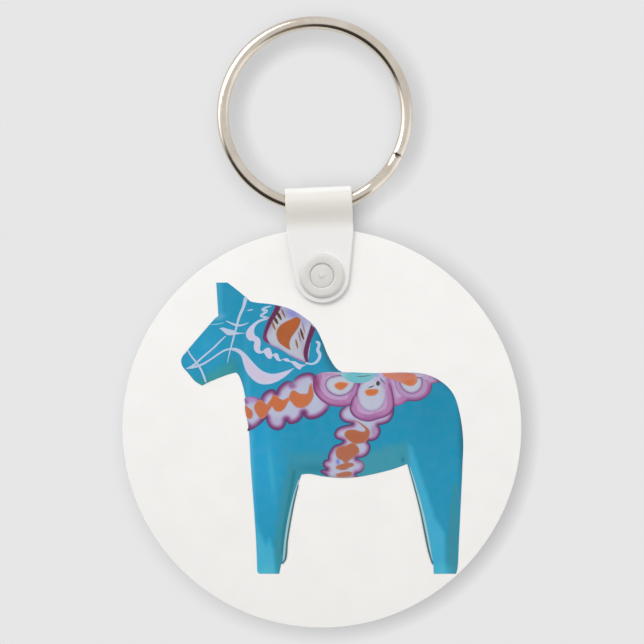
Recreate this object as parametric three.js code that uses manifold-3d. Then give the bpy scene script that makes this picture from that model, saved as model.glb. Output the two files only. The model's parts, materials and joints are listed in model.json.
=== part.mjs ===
// Key ring tag: a split ring, a folded snap strap, and a round board printed with a dala horse.
//
// Millimetres, +Z up. The tag hangs from its ring, which is held at its inside top: the origin is
// that point. The tag lies in the XZ plane and its printed face looks along -Y.

import * as THREE from 'three';
import { mergeVertices } from 'three/addons/utils/BufferGeometryUtils.js';
import Module from 'manifold-3d';

const wasm = await Module();
wasm.setup();

// ---------------------------------------------------------------- driving dimensions

// Split ring: one wire, two turns side by side along Y.
const ringOuterDiameter = 28.1;
const wireWidth = 1.7;
const wireHeight = 1.15;
const wireRounding = 0.5;
const turnGap = 0.04;
const crossingAngle = -42;
const crossingHalfSpan = 12;
const wireEndGap = 3;

// Strap. Depths are measured down the strap from the ring's centre.
const strapLean = 2.5;
const strapWidth = 9.56;
const strapThickness = 0.6;
const foldDepth = 12.75;
const foldInnerRadius = 1.75;
const clampDepth = 16;
const hingeDepth = 14.4;
const hingeGap = 0.04;
const taperDepth = 17.2;
const snapDepth = 23.2;
const strapEndRadius = 3.9;

// Snap.
const studRadius = 1.5;
const studBaseRadius = 2.1;
const studNubRadius = 0.4;
const studNubHeight = 0.12;
const socketBoreRadius = 1.72;
const socketSpigotRadius = 2.35;
const socketCollarRadius = 3.2;
const socketCollarHeight = 0.6;
const collarRounding = 0.25;
const tipDepthInSocket = 0.25;
const tipDomeHeight = 0.35;

// Tag: a board with a thin white coat on each face, and the print on the front one.
const discDiameter = 57.15;
const holeBelowEdge = 6.775;
const holeRadius = 1.8;
const coreThickness = 2;
const coatThickness = 0.12;
const printThickness = 0.05;
const edgeRounding = 0.25;
const layerGap = 0.02;
const leafGap = 0.06;

// Curves are cut into this many straight steps.
const discSteps = 120;
const roundSteps = 40;
const cornerSteps = 2;
const domeSteps = 6;
const foldSteps = 16;
const leafSteps = 8;
const wireSteps = 88;
const wireCornerSegments = 2;
const printSegments = 8;

// ---------------------------------------------------------------- worked out from them

const ringOuterRadius = ringOuterDiameter / 2;
const ringCentreZ = wireWidth - ringOuterRadius;
const wireRadius = ringOuterRadius - wireWidth / 2;
const turnOffset = (wireHeight + turnGap) / 2;

const discRadius = discDiameter / 2;
const coatInner = coreThickness / 2 + layerGap;
const coatOuter = coatInner + coatThickness;
const printInner = coatOuter + layerGap;
const printOuter = printInner + printThickness;

const leafInner = printOuter + leafGap;
const leafOuter = leafInner + strapThickness;
const leafMiddle = leafInner + strapThickness / 2;
const foldMiddleRadius = foldInnerRadius + strapThickness / 2;
const strapEndDepth = snapDepth + strapEndRadius;

const lean = THREE.MathUtils.degToRad(strapLean);
const snapX = snapDepth * Math.sin(lean);
const snapZ = ringCentreZ - snapDepth * Math.cos(lean);
const holeHeight = discRadius - holeBelowEdge;

// ---------------------------------------------------------------- materials

const material = (color, roughness, metalness) =>
  new THREE.MeshStandardMaterial({ color, roughness, metalness });

const nickelSteel = material(0xc9c2b6, 0.2, 1);
const frostedPlastic = material(0xe4e1db, 0.4, 0);
const snapPlastic = material(0xdedbd5, 0.35, 0);
const boardCore = material(0xe9e4d6, 0.6, 0);
const whiteCoat = material(0xf4f3f1, 0.2, 0);
const horseInk = material(0x2a93b4, 0.25, 0);

// ---------------------------------------------------------------- solids

function toSolid(geometry) {
  const bare = geometry.clone();
  bare.deleteAttribute('normal');
  bare.deleteAttribute('uv');
  const merged = mergeVertices(bare, 1e-5);
  return new wasm.Manifold(new wasm.Mesh({
    numProp: 3,
    vertProperties: new Float32Array(merged.attributes.position.array),
    triVerts: new Uint32Array(merged.index.array),
  }));
}

function toGeometry(solid) {
  const mesh = solid.getMesh();
  const geometry = new THREE.BufferGeometry();
  geometry.setAttribute('position', new THREE.BufferAttribute(mesh.vertProperties, 3));
  geometry.setIndex(new THREE.BufferAttribute(mesh.triVerts, 1));
  return geometry;
}

function named(name, geometry, look) {
  const mesh = new THREE.Mesh(geometry, look);
  mesh.name = name;
  return mesh;
}

// A shape drawn in X and Z, given a thickness from one Y to a larger one.
function slab(shape, fromY, toY) {
  const geometry = new THREE.ExtrudeGeometry(shape, {
    depth: toY - fromY,
    bevelEnabled: false,
    curveSegments: roundSteps,
  });
  return geometry.rotateX(Math.PI / 2).translate(0, toY, 0);
}

// A shape drawn in Y and Z, drawn out to a width along X, centred on X = 0.
function acrossStrap(shape, width) {
  const geometry = new THREE.ExtrudeGeometry(shape, { depth: width, bevelEnabled: false });
  const turnToX = new THREE.Matrix4().set(0, 0, 1, -width / 2, 1, 0, 0, 0, 0, 1, 0, 0, 0, 0, 0, 1);
  return geometry.applyMatrix4(turnToX);
}

// A round rod along Y.
function rod(radius, fromY, toY, x, z, steps) {
  const geometry = new THREE.CylinderGeometry(radius, radius, toY - fromY, steps);
  return geometry.translate(x, (fromY + toY) / 2, z);
}

// A quarter of a circle as profile points, for rounding an edge.
function quarterRound(centreR, centreY, radius, fromDegrees) {
  const points = [];
  for (let i = 0; i <= cornerSteps; i += 1) {
    const angle = THREE.MathUtils.degToRad(fromDegrees + (90 * i) / cornerSteps);
    points.push(new THREE.Vector2(
      centreR + radius * Math.cos(angle),
      centreY + radius * Math.sin(angle),
    ));
  }
  return points;
}

// ---------------------------------------------------------------- split ring

// The wire's centre line: nearly two turns, crossing from the front turn to the rear one.
class SplitRingPath extends THREE.Curve {
  getPoint(t, target = new THREE.Vector3()) {
    const start = crossingHalfSpan + wireEndGap;
    const end = 720 - crossingHalfSpan - wireEndGap;
    const travelled = THREE.MathUtils.lerp(start, end, t);
    const crossing = THREE.MathUtils.smoothstep(
      travelled, 360 - crossingHalfSpan, 360 + crossingHalfSpan);
    const y = THREE.MathUtils.lerp(-turnOffset, turnOffset, crossing);
    const angle = THREE.MathUtils.degToRad(crossingAngle + travelled);
    return target.set(wireRadius * Math.cos(angle), y, wireRadius * Math.sin(angle));
  }
}

// The wire's section: a rectangle with round corners, tall along Y and wide along the radius.
function wireSection() {
  const halfHeight = wireHeight / 2 - wireRounding;
  const halfWidth = wireWidth / 2 - wireRounding;
  const section = new THREE.Shape();
  section.absarc(halfHeight, halfWidth, wireRounding, 0, Math.PI / 2);
  section.absarc(-halfHeight, halfWidth, wireRounding, Math.PI / 2, Math.PI);
  section.absarc(-halfHeight, -halfWidth, wireRounding, Math.PI, 1.5 * Math.PI);
  section.absarc(halfHeight, -halfWidth, wireRounding, 1.5 * Math.PI, 2 * Math.PI);
  return section;
}

function splitRing() {
  return new THREE.ExtrudeGeometry(wireSection(), {
    extrudePath: new SplitRingPath(),
    steps: wireSteps,
    curveSegments: wireCornerSegments,
  });
}

// ---------------------------------------------------------------- strap

// How far a leaf's middle is from the strap's mid-plane, at a depth below the ring's centre.
function leafOffset(depth) {
  const closed = THREE.MathUtils.smoothstep(depth, foldDepth, clampDepth);
  return THREE.MathUtils.lerp(foldMiddleRadius, leafMiddle, closed);
}

// One side of a leaf as profile points, from one depth to another. side is 1 behind, -1 in front.
function leafLine(side, surface, fromDepth, toDepth) {
  const points = [];
  for (let i = 0; i <= leafSteps; i += 1) {
    const depth = THREE.MathUtils.lerp(fromDepth, toDepth, i / leafSteps);
    const y = side * (leafOffset(depth) + surface);
    points.push(new THREE.Vector2(y, -depth));
  }
  return points;
}

// The fold's arc over the wire, from behind to in front, without its two end points.
function foldArc(radius) {
  const points = [];
  for (let i = 1; i < foldSteps; i += 1) {
    const angle = (Math.PI * i) / foldSteps;
    points.push(new THREE.Vector2(radius * Math.cos(angle), radius * Math.sin(angle) - foldDepth));
  }
  return points;
}

function rearProfile() {
  const half = strapThickness / 2;
  const outside = [
    new THREE.Vector2(leafOuter, -strapEndDepth),
    ...leafLine(1, half, clampDepth, foldDepth),
    ...foldArc(foldMiddleRadius + half),
    ...leafLine(-1, half, foldDepth, hingeDepth),
  ];
  const inside = [
    new THREE.Vector2(leafInner, -strapEndDepth),
    ...leafLine(1, -half, clampDepth, foldDepth),
    ...foldArc(foldMiddleRadius - half),
    ...leafLine(-1, -half, foldDepth, hingeDepth),
  ];
  return new THREE.Shape([...outside, ...inside.reverse()]);
}

function frontProfile() {
  const half = strapThickness / 2;
  const top = hingeDepth + hingeGap;
  const outside = leafLine(-1, half, top, clampDepth);
  outside.push(new THREE.Vector2(-leafOuter, -strapEndDepth));
  const inside = leafLine(-1, -half, top, clampDepth);
  inside.push(new THREE.Vector2(-leafInner, -strapEndDepth));
  return new THREE.Shape([...outside, ...inside.reverse()]);
}

// The strap seen from the front: straight sides, then a taper that meets a round end.
function strapOutline() {
  const half = strapWidth / 2;
  const top = -(foldDepth - foldMiddleRadius - strapThickness);
  const rise = snapDepth - taperDepth;
  const toCorner = Math.hypot(half, rise);
  const meeting = Math.atan2(rise, half) - Math.acos(strapEndRadius / toCorner);
  const outline = new THREE.Shape();
  outline.moveTo(-half, top);
  outline.lineTo(-half, -taperDepth);
  outline.absarc(0, -snapDepth, strapEndRadius, Math.PI - meeting, 2 * Math.PI + meeting);
  outline.lineTo(half, -taperDepth);
  outline.lineTo(half, top);
  return outline;
}

function strapLeaf(profile, holeSize) {
  const reach = 2 * leafOuter;
  const sheet = toSolid(acrossStrap(profile, 2 * strapWidth));
  const outline = toSolid(slab(strapOutline(), -reach, reach));
  const hole = toSolid(rod(holeSize, -reach, reach, 0, -snapDepth, roundSteps));
  return toGeometry(sheet.intersect(outline).subtract(hole));
}

// ---------------------------------------------------------------- snap

// The post: a base set flush in the rear leaf, a shank through the tag, and a low domed tip.
function snapStud() {
  const tipY = -(leafOuter + socketCollarHeight - tipDepthInSocket);
  const profile = [
    new THREE.Vector2(0, tipY - studNubHeight),
    new THREE.Vector2(studNubRadius, tipY - studNubHeight / 2),
    new THREE.Vector2(studNubRadius, tipY),
  ];
  for (let i = 1; i <= domeSteps; i += 1) {
    const angle = (Math.PI / 2) * (i / domeSteps);
    const r = THREE.MathUtils.lerp(studNubRadius, studRadius, Math.sin(angle));
    profile.push(new THREE.Vector2(r, tipY + tipDomeHeight * (1 - Math.cos(angle))));
  }
  profile.push(
    new THREE.Vector2(studRadius, leafInner + layerGap),
    new THREE.Vector2(studBaseRadius, leafInner + layerGap),
    new THREE.Vector2(studBaseRadius, leafOuter),
    new THREE.Vector2(0, leafOuter),
  );
  return new THREE.LatheGeometry(profile, roundSteps);
}

// The collar: a spigot through the front leaf and a raised round rim on its face, with a bore.
function snapSocket() {
  const roundY = collarRounding - (leafOuter + socketCollarHeight);
  const rimY = -(leafOuter + layerGap);
  const backY = -(leafInner + layerGap);
  const profile = [
    new THREE.Vector2(socketBoreRadius, backY),
    ...quarterRound(socketBoreRadius + collarRounding, roundY, collarRounding, 180),
    ...quarterRound(socketCollarRadius - collarRounding, roundY, collarRounding, 270),
    new THREE.Vector2(socketCollarRadius, rimY),
    new THREE.Vector2(socketSpigotRadius, rimY),
    new THREE.Vector2(socketSpigotRadius, backY),
    new THREE.Vector2(socketBoreRadius, backY),
  ];
  return new THREE.LatheGeometry(profile, roundSteps);
}

// ---------------------------------------------------------------- tag

// The tag's hole, as a rod to cut away, in the tag's own frame.
function tagHole() {
  return toSolid(rod(holeRadius, -discRadius, discRadius, 0, holeHeight, roundSteps));
}

function discCore() {
  const face = coreThickness / 2;
  const rimR = discRadius - edgeRounding;
  const profile = [
    new THREE.Vector2(0, -face),
    ...quarterRound(rimR, edgeRounding - face, edgeRounding, -90),
    ...quarterRound(rimR, face - edgeRounding, edgeRounding, 0),
    new THREE.Vector2(0, face),
  ];
  return toGeometry(toSolid(new THREE.LatheGeometry(profile, discSteps)).subtract(tagHole()));
}

function coat(fromY, toY) {
  const plain = rod(discRadius - edgeRounding, fromY, toY, 0, 0, discSteps);
  return toGeometry(toSolid(plain).subtract(tagHole()));
}

// The horse's outline, drawn from the ear tip over the back, round the legs and up the chest.
function horseOutline() {
  const outline = new THREE.Shape();
  outline.moveTo(-15.1, 20.8);
  outline.lineTo(-13.5, 20.8);
  outline.quadraticCurveTo(-12, 19.7, -10.2, 18.1);
  outline.bezierCurveTo(-5, 18, -1.6, 16.6, -0.2, 12.9);
  outline.quadraticCurveTo(1.2, 9.2, 2.9, 8);
  outline.bezierCurveTo(6, 7.8, 9, 8, 11.9, 8);
  outline.bezierCurveTo(17, 7.8, 20, 5.4, 20.2, -1.6);
  outline.quadraticCurveTo(20.1, -12, 19.2, -20.8);
  outline.lineTo(16, -20.8);
  outline.quadraticCurveTo(14.4, -13.5, 12.3, -5.25);
  outline.bezierCurveTo(9.5, -6.2, 6.6, -7.1, 3, -7.1);
  outline.quadraticCurveTo(0, -6.9, -2.9, -6.6);
  outline.quadraticCurveTo(-4.6, -12, -5.3, -18.9);
  outline.lineTo(-6.1, -20.8);
  outline.lineTo(-8.9, -20.8);
  outline.quadraticCurveTo(-9.7, -12, -10.4, -0.8);
  outline.quadraticCurveTo(-10.8, 5.5, -12.1, 8);
  outline.quadraticCurveTo(-14.6, 7.4, -17.1, 6.1);
  outline.quadraticCurveTo(-19.4, 7.4, -20.1, 9.9);
  outline.quadraticCurveTo(-18, 12.6, -14.8, 16.1);
  outline.closePath();
  return outline;
}

function horsePrint() {
  const geometry = new THREE.ExtrudeGeometry(horseOutline(), {
    depth: printThickness,
    bevelEnabled: false,
    curveSegments: printSegments,
  });
  return geometry.rotateX(Math.PI / 2).translate(0, -printInner, 0);
}

// ---------------------------------------------------------------- assembly

const ringFrame = new THREE.Group();
ringFrame.position.z = ringCentreZ;
ringFrame.add(named('split_ring', splitRing(), nickelSteel));

const strapFrame = new THREE.Group();
strapFrame.position.z = ringCentreZ;
strapFrame.rotation.y = -lean;
strapFrame.add(
  named('strap_rear', strapLeaf(rearProfile(), studBaseRadius + layerGap), frostedPlastic),
  named('strap_front', strapLeaf(frontProfile(), socketSpigotRadius + layerGap), frostedPlastic),
);

const snapFrame = new THREE.Group();
snapFrame.position.set(snapX, 0, snapZ);
snapFrame.add(
  named('snap_stud', snapStud(), snapPlastic),
  named('snap_socket', snapSocket(), snapPlastic),
);

const tagFrame = new THREE.Group();
tagFrame.position.set(snapX, 0, snapZ - holeHeight);
tagFrame.add(
  named('disc_core', discCore(), boardCore),
  named('front_coat', coat(-coatOuter, -coatInner), whiteCoat),
  named('back_coat', coat(coatInner, coatOuter), whiteCoat),
  named('horse_print', horsePrint(), horseInk),
);

const keyRing = new THREE.Group();
keyRing.add(ringFrame, strapFrame, snapFrame, tagFrame);

export default keyRing;
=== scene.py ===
"""Looks for a key ring tag: a split ring, a folded snap strap and a round board printed with a dala horse.

Shapes are worked out in millimetres and become metres when a mesh is made. The tag lies in the XZ
plane and its printed face looks along -Y. The artwork is drawn in the tag's own frame: x to the
right and z up from the tag's centre, with a height towards the viewer.
"""

import json
import math

import bmesh
import bpy
import numpy as np
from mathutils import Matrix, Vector
from mathutils.geometry import delaunay_2d_cdt


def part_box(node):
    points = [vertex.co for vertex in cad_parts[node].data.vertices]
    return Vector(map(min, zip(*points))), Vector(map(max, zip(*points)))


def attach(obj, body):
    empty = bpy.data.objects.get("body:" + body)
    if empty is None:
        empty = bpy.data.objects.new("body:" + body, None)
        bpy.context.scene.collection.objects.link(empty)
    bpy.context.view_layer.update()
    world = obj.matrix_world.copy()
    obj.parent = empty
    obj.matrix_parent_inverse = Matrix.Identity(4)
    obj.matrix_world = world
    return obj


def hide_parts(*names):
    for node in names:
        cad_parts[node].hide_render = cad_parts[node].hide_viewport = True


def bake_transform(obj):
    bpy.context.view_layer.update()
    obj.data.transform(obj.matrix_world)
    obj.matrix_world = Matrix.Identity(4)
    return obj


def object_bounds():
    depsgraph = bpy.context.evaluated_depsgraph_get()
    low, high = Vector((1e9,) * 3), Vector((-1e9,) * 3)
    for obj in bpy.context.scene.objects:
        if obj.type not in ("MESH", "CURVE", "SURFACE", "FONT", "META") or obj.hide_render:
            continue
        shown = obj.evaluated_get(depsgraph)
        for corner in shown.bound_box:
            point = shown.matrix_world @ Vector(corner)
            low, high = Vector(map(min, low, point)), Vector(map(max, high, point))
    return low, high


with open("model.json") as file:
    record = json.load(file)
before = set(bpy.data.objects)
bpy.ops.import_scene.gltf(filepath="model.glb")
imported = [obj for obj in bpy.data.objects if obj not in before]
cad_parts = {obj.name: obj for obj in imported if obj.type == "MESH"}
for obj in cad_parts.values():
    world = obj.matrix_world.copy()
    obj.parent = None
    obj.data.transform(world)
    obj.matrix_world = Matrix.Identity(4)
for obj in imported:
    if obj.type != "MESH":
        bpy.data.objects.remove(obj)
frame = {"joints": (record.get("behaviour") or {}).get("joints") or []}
cad_low, cad_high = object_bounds()

# ---------------------------------------------------------------- places taken from the frame

MM = 0.001
TOWARDS_BACK = Vector((0, 1, 0))


def joint_place(name):
    """A joint's point in millimetres, and its axis."""
    found = next(joint for joint in frame["joints"] if joint["name"] == name)
    return Vector(found["pos_m"]) / MM, Vector(found["axis"])


def box_mm(node):
    """A CAD node's lowest and highest corner, in millimetres."""
    low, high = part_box(node)
    return low / MM, high / MM


FOLD_AXIS, ACROSS = joint_place("strap_swing")
SNAP = joint_place("disc_swivel")[0]
DOWN = TOWARDS_BACK.cross(ACROSS)
core_low, core_high = box_mm("disc_core")
coat_low, coat_high = box_mm("front_coat")
back_low, back_high = box_mm("back_coat")
print_low, print_high = box_mm("horse_print")
TAG_CENTRE = (core_low + core_high) / 2
TAG_RADIUS = (core_high.x - core_low.x) / 2
HOLE_HEIGHT = SNAP.z - TAG_CENTRE.z

# ---------------------------------------------------------------- driving dimensions

FOLD_DEPTH = 12.75
RING_CENTRE = FOLD_AXIS - FOLD_DEPTH * DOWN
WIRE_RADIUS = 13.2
WIRE_HALF_WIDTH = 0.85
WIRE_HALF_HEIGHT = 0.575
TURN_OFFSET = 0.595
CROSSING_ANGLE = -42
CROSSING_HALF_SPAN = 12
WIRE_END_GAP = 3

STRAP_WIDTH = 9.56
STRAP_THICKNESS = 0.6
FOLD_RADIUS = 2.05
LEAF_OFFSET = 1.57
CLAMP_DEPTH = 16
HINGE_DEPTH = 14.4
HINGE_GAP = 0.004
FIT_GAP = 0.02
TAPER_DEPTH = 17.2
SNAP_DEPTH = 23.2
STRAP_END_RADIUS = 3.9
STRAP_ROUNDING = 0.18
STRAP_TOP_DEPTH = 10.4
# How far down from the fold's top the strap's painted shade runs.
PAINTED_SHADE_LENGTH = 7

STUD_RADIUS = 1.68
STUD_ROUNDING = 0.18
STUD_BASE_RADIUS = 2.1
STUD_BASE_ROUNDING = 0.1
STUD_SINK = 0.12
NUB_RADIUS = 0.4
NUB_HEIGHT = 0.12
NUB_PROFILE = [(1, 1 / 3), (0.85, 5 / 6), (0.5, 1), (0, 1)]
SOCKET_BORE_RADIUS = 1.7
SOCKET_SPIGOT_RADIUS = 2.35
SOCKET_COLLAR_RADIUS = 3.2
SOCKET_COLLAR_HEIGHT = 0.6
COLLAR_ROUNDING = 0.56
BORE_ROUNDING = 0.3

HOLE_RADIUS = 1.8
EDGE_ROUNDING = 0.25
COAT_ROUNDING = 0.05
LAYER_STEP = 0.018

CURVE_STEP = 0.3
LEAF_GRID = 0.45
DIRECTION_STEP = 0.02
FINE_STEP = 0.15
STROKE_STEP = 0.2
SMALLEST_GAP = 0.02
EDGE_STEPS = 4
GRID_CLEARANCE = 0.4
POST_STEPS = 72
COLLAR_STEPS = 96
TAG_STEPS = 360

# ---------------------------------------------------------------- flat outlines


def curve(points, step=CURVE_STEP):
    """A smooth line through points of any dimension: a centripetal Catmull-Rom spline, cut finely."""
    through = np.array(points, float)
    if len(through) == 2:
        count = max(1, math.ceil(np.linalg.norm(through[1] - through[0]) / step))
        share = np.linspace(0, 1, count + 1)[:, None]
        return through[0] * (1 - share) + through[1] * share
    before = 2 * through[0] - through[1]
    after = 2 * through[-1] - through[-2]
    through = np.vstack([before, through, after])
    pieces = []
    for a, b, c, d in zip(through, through[1:], through[2:], through[3:]):
        tb = math.sqrt(np.linalg.norm(b - a))
        tc = tb + math.sqrt(np.linalg.norm(c - b))
        td = tc + math.sqrt(np.linalg.norm(d - c))
        count = max(2, math.ceil(np.linalg.norm(c - b) / step))
        t = np.linspace(tb, tc, count + 1)[:-1, None]
        ab = (a * (tb - t) + b * t) / tb
        bc = (b * (tc - t) + c * (t - tb)) / (tc - tb)
        cd = (c * (td - t) + d * (t - tc)) / (td - tc)
        abc = (ab * (tc - t) + bc * t) / tc
        bcd = (bc * (td - t) + cd * (t - tb)) / (td - tb)
        pieces.append((abc * (tc - t) + bcd * (t - tb)) / (tc - tb))
    pieces.append(through[-2:-1])
    return np.vstack(pieces)


def chain(*runs, step=CURVE_STEP):
    """An open line of smooth runs, each from where the one before ends, with a corner between two runs."""
    line = [curve(runs[0], step)]
    line += [curve([before[-1], *run], step) for before, run in zip(runs, runs[1:])]
    return np.vstack(line)


def outline(*runs, step=CURVE_STEP):
    """A closed chain: its first run starts where its last run ends."""
    points = chain([runs[-1][-1], *runs[0]], *runs[1:], step=step)
    gaps = np.linalg.norm(points - np.roll(points, 1, axis=0), axis=1)
    return anticlockwise(points[gaps > SMALLEST_GAP])


def anticlockwise(points):
    x, z = points.T
    area = np.sum(x * np.roll(z, -1) - np.roll(x, -1) * z)
    return points if area > 0 else points[::-1]


def loop(points, step=CURVE_STEP):
    """A closed outline that is smooth all the way round."""
    points = np.array(points, float)
    wrapped = np.vstack([points[-2:], points, points[:2]])
    line = curve(wrapped, step)
    start = np.argmin(np.linalg.norm(line - points[0], axis=1))
    # The line comes back to its start, so the search for the end passes over the points beside the start.
    after = start + 3
    end = np.argmin(np.linalg.norm(line[after:] - points[0], axis=1)) + after
    return anticlockwise(line[start:end])


def oval(x, z, reach_x, reach_z, steps=40):
    turn = np.linspace(0, 2 * math.pi, steps, endpoint=False)
    return np.column_stack([x + reach_x * np.cos(turn), z + reach_z * np.sin(turn)])


def stroke(*points, step=STROKE_STEP):
    """The outline of one brush stroke through (x, z, width) points."""
    line = curve(points, step)
    centre = line[:, :2]
    along = np.gradient(centre, axis=0)
    along /= np.linalg.norm(along, axis=1)[:, None]
    aside = np.column_stack([-along[:, 1], along[:, 0]]) * line[:, 2:3] / 2
    tip = centre[-1:] + along[-1:] * line[-1, 2] / 2
    tail = centre[:1] - along[:1] * line[0, 2] / 2
    return anticlockwise(np.vstack([tail, centre - aside, tip, (centre + aside)[::-1]]))


def inset_normals(points):
    """For each point of an outline, the step that moves both its edges in by one."""
    ahead = np.roll(points, -1, axis=0) - points
    ahead /= np.linalg.norm(ahead, axis=1)[:, None]
    normal = np.column_stack([-ahead[:, 1], ahead[:, 0]])
    before = np.roll(normal, 1, axis=0)
    together = 1 + np.sum(normal * before, axis=1)
    return (normal + before) / np.maximum(together, 0.5)[:, None]


def line_distance(points, *lines):
    """How far each point is from the nearest of some open lines."""
    best = np.full(len(points), np.inf)
    for line in lines:
        for start, end in zip(line[:-1], line[1:]):
            along = end - start
            share = np.clip((points - start) @ along / max(along @ along, 1e-12), 0, 1)
            gap = points - start - share[:, None] * along
            best = np.minimum(best, np.hypot(gap[:, 0], gap[:, 1]))
    return best


def closed(points):
    return np.vstack([points, points[:1]])


def inside(points, outlines):
    """Which points lie inside the outer outline and outside the holes."""
    crossings = np.zeros(len(points), int)
    x, z = points.T
    for points_of in outlines:
        for (x0, z0), (x1, z1) in zip(points_of, np.roll(points_of, -1, axis=0)):
            if z0 != z1:
                spans = (z0 > z) != (z1 > z)
                crossings += spans & (x < (x1 - x0) * (z - z0) / (z1 - z0) + x0)
    return crossings % 2 == 1


def grid_inside(outlines, spacing):
    """Points on a grid that lie inside and clear of the outlines."""
    low = outlines[0].min(axis=0)
    high = outlines[0].max(axis=0)
    xs = np.arange(low[0] + spacing / 2, high[0], spacing)
    zs = np.arange(low[1] + spacing / 2, high[1], spacing)
    points = np.array([(x, z) for x in xs for z in zs]).reshape(-1, 2)
    kept = points[inside(points, outlines)]
    clear = np.full(len(kept), np.inf)
    for points_of in outlines:
        clear = np.minimum(clear, line_distance(kept, closed(points_of)))
    return kept[clear > spacing * GRID_CLEARANCE]


# ---------------------------------------------------------------- meshes

MERGE_DISTANCE = 2e-7
SHARP_ANGLE = math.radians(50)


def add_object(name, data):
    """A new object in the scene."""
    made = bpy.data.objects.new(name, data)
    bpy.context.scene.collection.objects.link(made)
    return made


def new_piece(name, vertices, faces, finish, colours=None):
    """A mesh object from points in millimetres, smooth except where it turns sharply."""
    mesh = bpy.data.meshes.new(name)
    mesh.from_pydata([tuple(c * MM for c in v) for v in vertices], [], faces)
    if colours is not None:
        attribute = mesh.attributes.new("ink", "FLOAT_COLOR", "POINT")
        attribute.data.foreach_set("color", np.column_stack([colours, np.ones(len(colours))]).ravel())
    shell = bmesh.new()
    shell.from_mesh(mesh)
    if colours is None:
        bmesh.ops.remove_doubles(shell, verts=shell.verts, dist=MERGE_DISTANCE)
    bmesh.ops.recalc_face_normals(shell, faces=shell.faces)
    shell.to_mesh(mesh)
    shell.free()
    mesh.shade_smooth()
    mesh.set_sharp_from_angle(angle=SHARP_ANGLE)
    mesh.materials.append(finish)
    return add_object(name, mesh)


def cap(outlines, spacing):
    """A flat triangulated cap, open at its holes: its points and its faces."""
    points = np.vstack(outlines)
    edges = []
    first = 0
    for points_of in outlines:
        count = len(points_of)
        edges += [(first + i, first + (i + 1) % count) for i in range(count)]
        first += count
    if spacing:
        points = np.vstack([points, grid_inside(outlines, spacing)])
    made = delaunay_2d_cdt([Vector(p) for p in points], edges, [], 1, 1e-5)
    points = np.array([tuple(p) for p in made[0]])
    triangles = np.array([tuple(face) for face in made[2]])
    kept = inside(points[triangles].mean(axis=1), outlines)
    return points, [tuple(triangle) for triangle in triangles[kept].tolist()]


def tube_faces(first, count, rows):
    """The faces between rows of points, each row closed on itself. first is the first point's number."""
    faces = []
    for row in range(rows - 1):
        for i in range(count):
            a = first + row * count + i
            b = first + row * count + (i + 1) % count
            faces.append((a, b, b + count, a + count))
    return faces


def rounded_plate(name, outlines, half, rounding, place, finish, spacing=None, square_at=None):
    """A closed plate with rounded edges. place turns (u, v, height) into a point of the model. Holes run
    clockwise, and the edge along v = square_at is cut square."""
    inward = [inset_normals(points) for points in outlines]
    if square_at is not None:
        inward[0][np.isclose(outlines[0][:, 1], square_at), 1] = 0
    turns = [math.pi / 2 * i / EDGE_STEPS for i in range(EDGE_STEPS + 1)]
    profile = [(rounding * (1 - math.sin(t)), rounding * (1 - math.cos(t)) - half) for t in turns]
    profile += [(inset, -height) for inset, height in reversed(profile)]
    vertices = []
    faces = []
    for points, steps in zip(outlines, inward):
        first = len(vertices)
        count = len(points)
        for inset, height in profile:
            vertices += [(u, v, height) for u, v in points + inset * steps]
        faces += tube_faces(first, count, len(profile))
    inner = [points + rounding * steps for points, steps in zip(outlines, inward)]
    points, triangles = cap(inner, spacing)
    for height in (-half, half):
        first = len(vertices)
        vertices += [(u, v, height) for u, v in points]
        faces += [tuple(first + i for i in triangle) for triangle in triangles]
    return new_piece(name, [place(*vertex) for vertex in vertices], faces, finish)


def turned(name, profile, steps, place, finish):
    """A closed solid of revolution. The profile is (radius, height) points, and place puts (u, v, height)."""
    vertices = []
    rings = []
    for radius, height in profile:
        if radius == 0:
            rings.append([len(vertices)] * steps)
            vertices.append(place(0, 0, height))
            continue
        rings.append(list(range(len(vertices), len(vertices) + steps)))
        for i in range(steps):
            angle = 2 * math.pi * i / steps
            vertices.append(place(radius * math.cos(angle), radius * math.sin(angle), height))
    pairs = list(zip(rings, rings[1:]))
    if profile[0][0] and profile[-1][0]:
        pairs.append((rings[-1], rings[0]))
    faces = []
    for low, high in pairs:
        for i in range(steps):
            j = (i + 1) % steps
            corners = (low[i], low[j], high[j], high[i])
            faces.append(tuple(dict.fromkeys(corners)))
    return new_piece(name, vertices, faces, finish)


def rounded_corner(radius, height, rounding, from_degrees, sweep=90, steps=5):
    """Part of a circle as profile points."""
    turns = [math.radians(from_degrees + sweep * i / steps) for i in range(steps + 1)]
    return [(radius + rounding * math.cos(t), height + rounding * math.sin(t)) for t in turns]


def circle(radius, centre=(0, 0), steps=96, clockwise=False):
    turn = np.linspace(0, 2 * math.pi, steps, endpoint=False)
    turn = -turn if clockwise else turn
    return np.column_stack([centre[0] + radius * np.cos(turn), centre[1] + radius * np.sin(turn)])


# ---------------------------------------------------------------- materials

NOISE_LOW = 0.3
NOISE_HIGH = 0.7
PLASTIC_ALPHA = 0.86
GLOSS_SPECULAR = 0.25


def linear(colour):
    """A colour given as 0 to 255 display values, as linear light."""
    share = np.array(colour, float) / 255
    return np.where(share <= 0.04045, share / 12.92, ((share + 0.055) / 1.055) ** 2.4)


def wire(tree, sockets, values):
    """Sets a node's inputs, and links each one whose value is another node's output."""
    for name, value in values.items():
        if isinstance(value, bpy.types.NodeSocket):
            tree.links.new(value, sockets[name])
        else:
            sockets[name].default_value = value


def add_node(tree, kind, output, values, **settings):
    """The named output of a new shader node, whose inputs take the given values."""
    node = tree.nodes.new("ShaderNode" + kind)
    for name, setting in settings.items():
        setattr(node, name, setting)
    wire(tree, node.inputs, values)
    return node.outputs[output]


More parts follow.
